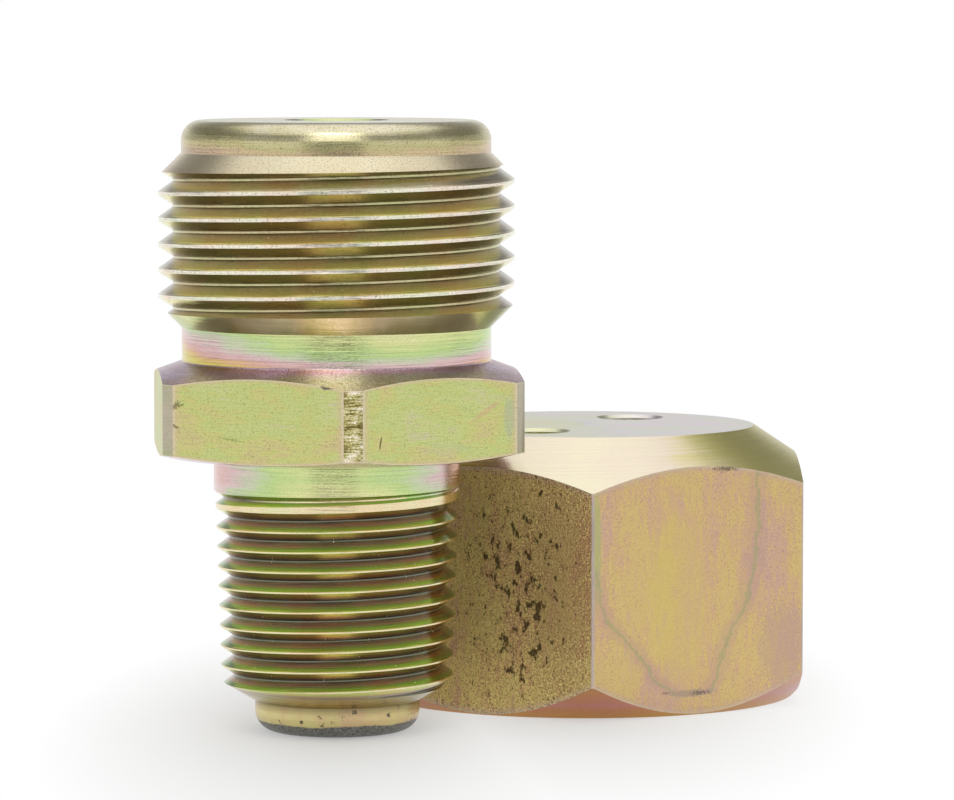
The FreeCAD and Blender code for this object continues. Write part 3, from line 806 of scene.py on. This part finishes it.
capPittedLook = dict(
    capFlatLook, mottle=0.7, grain=0.8, fineBump=1.6, bump=1.0, roughness=0.5, stain=[],
    stops=[(0.3, "#d2a880"), (0.42, "#dbbb80"), (0.52, "#dccb84"), (0.62, "#dcbe80"), (0.72, "#cfa688")],
    flecks=[(0.54, 0.66, "#fff2a6", 0.6), (0.46, 0.34, "#54431f", 0.7)],
    marked=[(leftCapFlat, [
        ((6.6, 10.0), (3.6, 9.0), 0.45, "#b28a62", 3.0, 0),
        # painted light: this pale patch brightens the part of the flat that lies in the fitting's shadow
        ((-6.4, 13.0), (2.6, 6.0), 0.45, "#f2e09a", 2.0, 0)])],
    pitting={"turn": leftCapFlat, "at": (3.2, 9.6), "half": (3.8, 8.0), "colour": "#352a18"})

capEdgeLook = dict(
    capFlatLook, stops=[(0.3, "#b8a89e"), (0.5, "#c6b6ac"), (0.7, "#d2c6b6")], flecks=[], marked=[], stain=[],
    roughness=0.34)

capFacePlate = turnedChromate("turned_yellow_chromate_cap_face", capFaceLook, capCentre)
capChamferPlate = turnedChromate("turned_yellow_chromate_cap_bevel", capChamferLook, capCentre)
capFootPlate = turnedChromate("turned_yellow_chromate_cap_foot", capFootLook, capCentre)
capFlatPlate = flatChromate("drawn_bar_chromate_cap_flats", capFlatLook, capCentre)
capPittedPlate = flatChromate("pitted_bar_chromate_cap_flat", capPittedLook, capCentre)
capEdgePlate = flatChromate("worn_chromate_cap_edges", capEdgeLook, capCentre)


def capFinish(centre, normal):
    reach = math.hypot(centre.x - c["right"], centre.y - c["back"])
    if reach < c["faceRadius"] + 0.1 and normal.z < 0.9:
        return capFacePlate
    if normal.z > 0.3:
        return capFacePlate if normal.z > 0.9 else capChamferPlate
    if normal.z < -0.3:
        return capFootPlate
    facing = math.degrees(math.atan2(normal.x, -normal.y))
    offFlat = (facing - rightCapFlat + 30) % 60 - 30
    if abs(offFlat) > 6:
        return capEdgePlate
    return capPittedPlate if abs(facing - leftCapFlat) < 6 else capFlatPlate


startFresh(capShell)
capShell.rotation_euler = (0, 0, math.radians(c["turn"]))
capShell.location = (c["right"], c["back"], 0)
bpy.ops.object.transform_apply(location=True, rotation=True, scale=True)
finishPiece(capShell, [
    capFacePlate, capChamferPlate, capFootPlate, capFlatPlate, capPittedPlate, capEdgePlate], capFinish)
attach(capShell, "fitting")
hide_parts("vented_cap")

# The poppet and the retainer keep their solids. All three pieces held inside are bare steel.
turnedSteelLook = {"stops": [(0.3, "#8f8f8c"), (0.6, "#a9a9a6")], "roughness": 0.3}
springWireLook = {"stops": [(0.3, "#8f8f8c"), (0.6, "#8c8c8a")], "roughness": 0.36}


def bareSteel(name, look):
    material, tree = newMaterial(name)
    marks = turningMarks(tree, latheCoordinates(tree))
    colour = addNode(tree, "ValToRGB", inputs={"Fac": marks}, stops=look["stops"])
    closeMetal(tree, colour, look["roughness"], marks, 0.3, 0.02)
    return material


turnedSteel = bareSteel("turned_bare_steel", turnedSteelLook)
springSteel = bareSteel("drawn_spring_wire", springWireLook)
for node in ("valve_poppet", "spring_retainer"):
    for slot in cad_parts[node].material_slots:
        slot.material = turnedSteel

# The spring is wound again.
spring = {"radius": 3.7, "wire": 0.45, "foot": 2.3, "top": 9.816, "turns": 3, "lift": 2.0}
springLength = spring["top"] - spring["foot"]
springCoil = threadCutter(
    "spring_coil", arc(spring["radius"], 0, spring["wire"], 0, 315, 7),
    (springLength - 2 * spring["wire"]) / spring["turns"], spring["turns"], spring["foot"] + spring["wire"])
finishPiece(springCoil, [springSteel], lambda centre, normal: springSteel, 60)
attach(springCoil, "fitting")
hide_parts("valve_spring")
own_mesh(springCoil)
print("inner pieces finished")

# Floor, light and camera. Strengths, and the directions between which one part of the room turns to the next.
studio = {
    "floor": "#ececea", "floorSize": 6, "floorGap": 0.02 * mm, "nearReach": (0.021, 0.066, 1), "nearGlow": 0.25,
    "gapAhead": (-0.33, -0.27), "gapSlant": (-0.42, -0.34),
    "lowLight": 0.76, "behind": 0.93, "behindFrom": (0.8, 0.95), "shade": 0.36, "shadeFrom": (0.16, 0.34),
    "overhead": 0.95, "overheadFrom": (0.62, 0.8),
    "clothAt": 0.42, "clothEdge": (0.28, 0.44), "clothShare": 0.7, "clothTop": (0.7, 0.8),
    "frontGap": 0.22, "frontScreen": 1.4, "frontTop": 2.9, "screenHalfAngle": 21, "screenFoot": (0.1, 0.14),
    "screenTop": (0.66, 0.72), "screenEnd": (0.86, 0.9), "lampSize": 0.4, "lampStrength": 0.12,
    "lampPlace": (0.01, 0.01, 0.6), "lens": 199.07, "cameraPlace": (0.009979, -0.374483, 0.051107),
    "cameraTilt": 4.204, "screenEdge": 0.06,
}
s = studio
white = (1, 1, 1, 1)


# How far to the side a direction or a place lies, for each step back.
def slantAside(tree, apart):
    aside = addNode(tree, "Math", "ABSOLUTE", [apart.outputs["X"]])
    return addNode(tree, "Math", "DIVIDE", [aside, apart.outputs["Y"]])


startFresh()
bpy.ops.mesh.primitive_plane_add(size=s["floorSize"], location=(0, 0, -s["floorGap"]))
floor = bpy.context.object
floor.name = "floor"
floorMaterial, tree = newMaterial("pale_floor")
coordinates = addNode(tree, "TexCoord")
# the seen floor is white away from the pieces; near them, further towards the front than to the sides, it fades
# to the matt floor, which is greyer than the white and keeps the real shadows: a painted shade round the pieces
distances = []
for right, back in ((0.0, 0.0), (c["right"] * mm, c["back"] * mm)):
    apart = addNode(tree, "Mapping", {"vector_type": "TEXTURE"}, {
        "Vector": coordinates.outputs["Object"], "Location": (right, back, 0), "Scale": s["nearReach"]})
    distances.append(addNode(tree, "VectorMath", "LENGTH", [apart]))
nearest = addNode(tree, "Math", "MINIMUM", [distances[0], distances[1]])
far = addNode(tree, "MapRange", inputs={"Value": nearest, "To Min": s["nearGlow"], "To Max": 1.0})
path = addNode(tree, "LightPath")
mirrored = addNode(tree, "Math", "MAXIMUM", [
    path.outputs["Is Glossy Ray"], path.outputs["Is Transmission Ray"]])
seen = addNode(tree, "Math", "MAXIMUM", [path.outputs["Is Camera Ray"], mirrored])
glowing = addNode(tree, "Math", "MULTIPLY", [far, seen])
# in the metal the floor far in front, between the screens, is dark
place = addNode(tree, "SeparateXYZ", inputs={"Vector": coordinates.outputs["Object"]})
inGap = addNode(tree, "MapRange", inputs=[slantAside(tree, place), *s["gapSlant"]])
forward = addNode(tree, "MapRange", inputs=[place.outputs["Y"], *s["gapAhead"], 1.0, 0.0])
gapHere = addNode(tree, "Math", "MULTIPLY", [inGap, forward])
gapSeen = addNode(tree, "Math", "MULTIPLY", [gapHere, mirrored])
glowLevel = addNode(tree, "MapRange", inputs={"Value": gapSeen, "To Min": 1.0, "To Max": s["frontGap"]})
matt = addNode(tree, "BsdfPrincipled", inputs={"Base Color": linear(s["floor"]), "Roughness": 0.8})
glow = addNode(tree, "Emission", inputs={"Color": white, "Strength": glowLevel})
both = addNode(tree, "MixShader", inputs=[glowing, matt, glow])
addNode(tree, "OutputMaterial", inputs={"Surface": both})
floor.data.materials.append(floorMaterial)

# The room is bright at eye level and overhead, with a softer band between them, and a tall narrow screen hangs
# in front, brightest at its top, over a darker gap. What the camera sees is plain white.
world = bpy.data.worlds.new("studio")
bpy.context.scene.world = world
world.use_nodes = True
tree = world.node_tree
tree.nodes.clear()
direction = addNode(tree, "TexCoord")
toward = addNode(tree, "SeparateXYZ", inputs={"Vector": direction.outputs["Generated"]})
up = toward.outputs["Z"]
backdrop = addNode(tree, "MapRange", inputs=[toward.outputs["Y"], *s["behindFrom"], s["lowLight"], s["behind"]])
lowBand = addNode(tree, "MapRange", inputs=[up, *s["shadeFrom"], backdrop, s["shade"]])
highBand = addNode(tree, "MapRange", inputs=[up, *s["overheadFrom"], 0.0, s["overhead"] - s["shade"]])
evenRoom = addNode(tree, "Math", "ADD", [lowBand, highBand])
# black cloths stand at the sides, towards the back, and darken the edges of the round parts
fromCloth = addNode(tree, "Math", "SUBTRACT", [toward.outputs["Y"], s["clothAt"]])
offCloth = addNode(tree, "Math", "ABSOLUTE", [fromCloth])
cloth = addNode(tree, "MapRange", inputs=[offCloth, *s["clothEdge"], s["clothShare"], 1.0])
overCloth = addNode(tree, "MapRange", inputs=[up, *s["clothTop"], cloth, 1.0])
room = addNode(tree, "Math", "MULTIPLY", [evenRoom, overCloth])
halfWidth = math.tan(math.radians(s["screenHalfAngle"]))
across = addNode(tree, "MapRange", inputs=[
    slantAside(tree, toward), -halfWidth - s["screenEdge"], -halfWidth + s["screenEdge"]])
ahead = addNode(tree, "Math", "LESS_THAN", [toward.outputs["Y"], 0.0])
inFront = addNode(tree, "Math", "MULTIPLY", [across, ahead])
overGap = addNode(tree, "MapRange", inputs=[up, *s["screenFoot"], s["frontGap"], s["frontScreen"]])
screenTop = addNode(tree, "MapRange", inputs=[up, *s["screenTop"], 0.0, s["frontTop"] - s["frontScreen"]])
screen = addNode(tree, "Math", "ADD", [overGap, screenTop])
underTop = addNode(tree, "MapRange", inputs=[up, *s["screenEnd"], 1.0, 0.0])
screenShare = addNode(tree, "Math", "MULTIPLY", [inFront, underTop])
light = addNode(tree, "Mix", {"data_type": "FLOAT"}, {"Factor": screenShare, "A": room, "B": screen})
roomLight = addNode(tree, "Background", inputs={"Color": white, "Strength": light})
plainWhite = addNode(tree, "Background", inputs={"Color": white, "Strength": 1.0})
path = addNode(tree, "LightPath")
shown = addNode(tree, "MixShader", inputs=[path.outputs["Is Camera Ray"], roomLight, plainWhite])
addNode(tree, "OutputWorld", inputs={"Surface": shown})

# A weak soft light overhead, which adds to the room above it.
lamp = bpy.data.lights.new("overhead_screen", "AREA")
lamp.shape = "SQUARE"
lamp.size = s["lampSize"]
lamp.energy = s["lampStrength"] * math.pi * lamp.size ** 2
holder = bpy.data.objects.new("overhead_screen", lamp)
holder.location = s["lampPlace"]
bpy.context.collection.objects.link(holder)

camera = bpy.data.cameras.new("camera")
camera.sensor_width = 36
camera.lens = s["lens"]
camera.clip_start = 0.01
holder = bpy.data.objects.new("camera", camera)
holder.location = s["cameraPlace"]
holder.rotation_euler = (math.radians(90 - s["cameraTilt"]), 0, 0)
bpy.context.collection.objects.link(holder)
bpy.context.scene.camera = holder

view = bpy.context.scene.view_settings
view.view_transform = "Standard"

print("scene ready")
